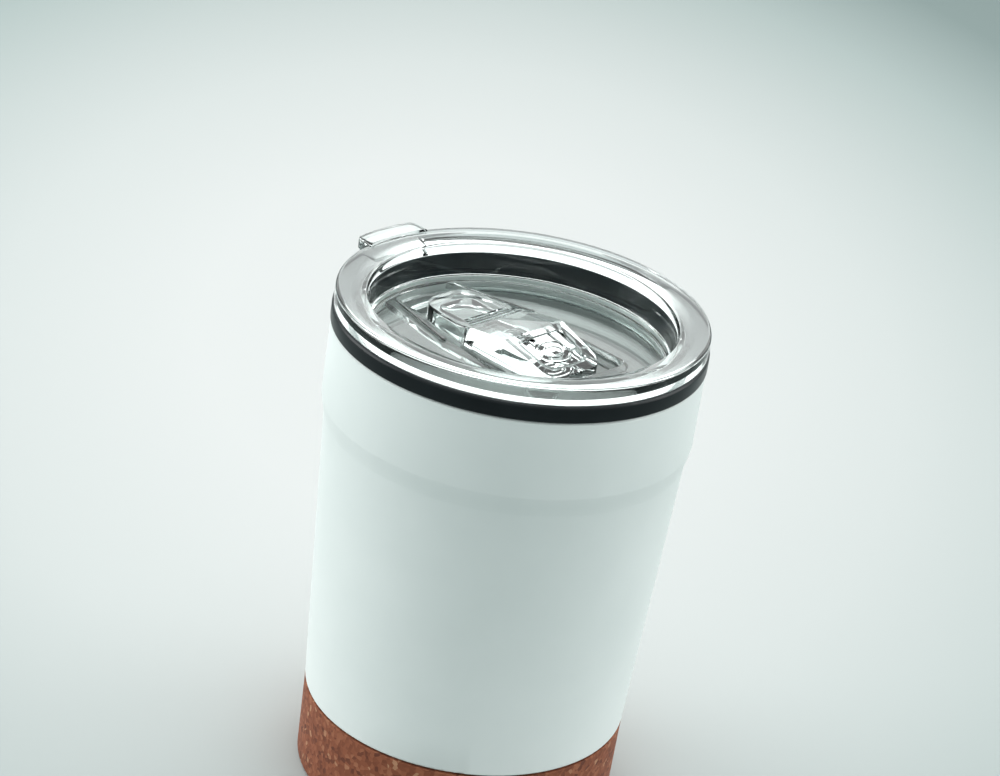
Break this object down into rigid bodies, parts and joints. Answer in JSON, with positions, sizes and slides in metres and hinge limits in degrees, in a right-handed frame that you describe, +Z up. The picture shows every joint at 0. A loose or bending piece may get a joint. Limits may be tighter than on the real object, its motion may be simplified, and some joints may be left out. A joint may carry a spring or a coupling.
{
  "type": "travel tumbler",
  "caption": "Double-walled steel tumbler with a cork base, a dark rim collar and a clear push-on lid whose cover slides open for drinking.",
  "frame": {"origin": "middle of the cork base's underside, on the surface the tumbler stands on", "axes": "+Z up along the cup's axis, -Y towards the drinking side and the thumb tab, X across the slider"},
  "size_m": [0.0856, 0.0888, 0.1218],
  "materials": {
    "white_coat": "fine matt powder coat",
    "bare_steel": "satin brushed",
    "black_collar": "satin moulded",
    "seal_silicone": "soft matt",
    "cork": "agglomerated cork, sanded",
    "clear_lid": "polished clear",
    "gasket_silicone": "translucent, soft",
    "clear_slider": "polished clear",
    "clip_plastic": "natural, slightly milky"
  },
  "bodies": {
    "cup": {"outer_shell": "white_coat", "base_plate": "bare_steel", "inner_cup": "bare_steel", "rim_collar": "black_collar", "collar_seal": "seal_silicone", "cork_sleeve": "cork", "cork_base_disc": "cork"},
    "lid": {"lid_body": "clear_lid", "lid_gasket": "gasket_silicone"},
    "cover": {"slider": "clear_slider", "slider_clip": "clip_plastic"}
  },
  "joints": [
    {"name": "lid_lift", "type": "slide", "parent": "cup", "child": "lid", "axis": [0, 0, 1], "range_m": [0, 0.05]},
    {"name": "cover_slide", "type": "slide", "parent": "lid", "child": "cover", "axis": [0, -1, 0], "range_m": [0, 0.006]}
  ]
}
